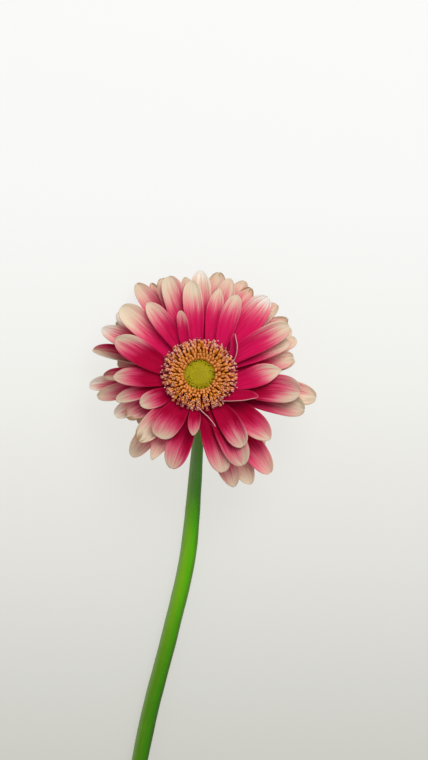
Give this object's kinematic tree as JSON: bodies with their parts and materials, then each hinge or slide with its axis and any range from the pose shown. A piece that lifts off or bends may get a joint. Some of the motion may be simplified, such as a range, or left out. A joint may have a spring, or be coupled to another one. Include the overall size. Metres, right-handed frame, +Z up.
{
  "type": "cut gerbera",
  "caption": "Cut daisy-like flower lying face up: layered pink petals with pale tips round an orange floret ring and a green centre, on a bare curved stem.",
  "frame": {"origin": "on the surface the flower lies on, on the stem's flat underside where the neck starts to lift into the head", "axes": "+Z up off the surface, +Y from the stem towards the head, along the length of the flower"},
  "size_m": [0.102, 0.3688, 0.0454],
  "materials": {
    "stem": "satin, fresh green",
    "calyx": "matte, grey-green",
    "petals": "satin, magenta with cream tips",
    "florets": "matte, orange with dark gaps",
    "centre": "matte, yellow-green"
  },
  "bodies": {
    "root": {"stem": "stem", "calyx": "calyx", "petals_back": "petals", "petals_middle": "petals", "petals_front": "petals", "petals_inner": "petals", "floret_ring": "florets", "disc_centre": "centre"}
  },
  "joints": []
}
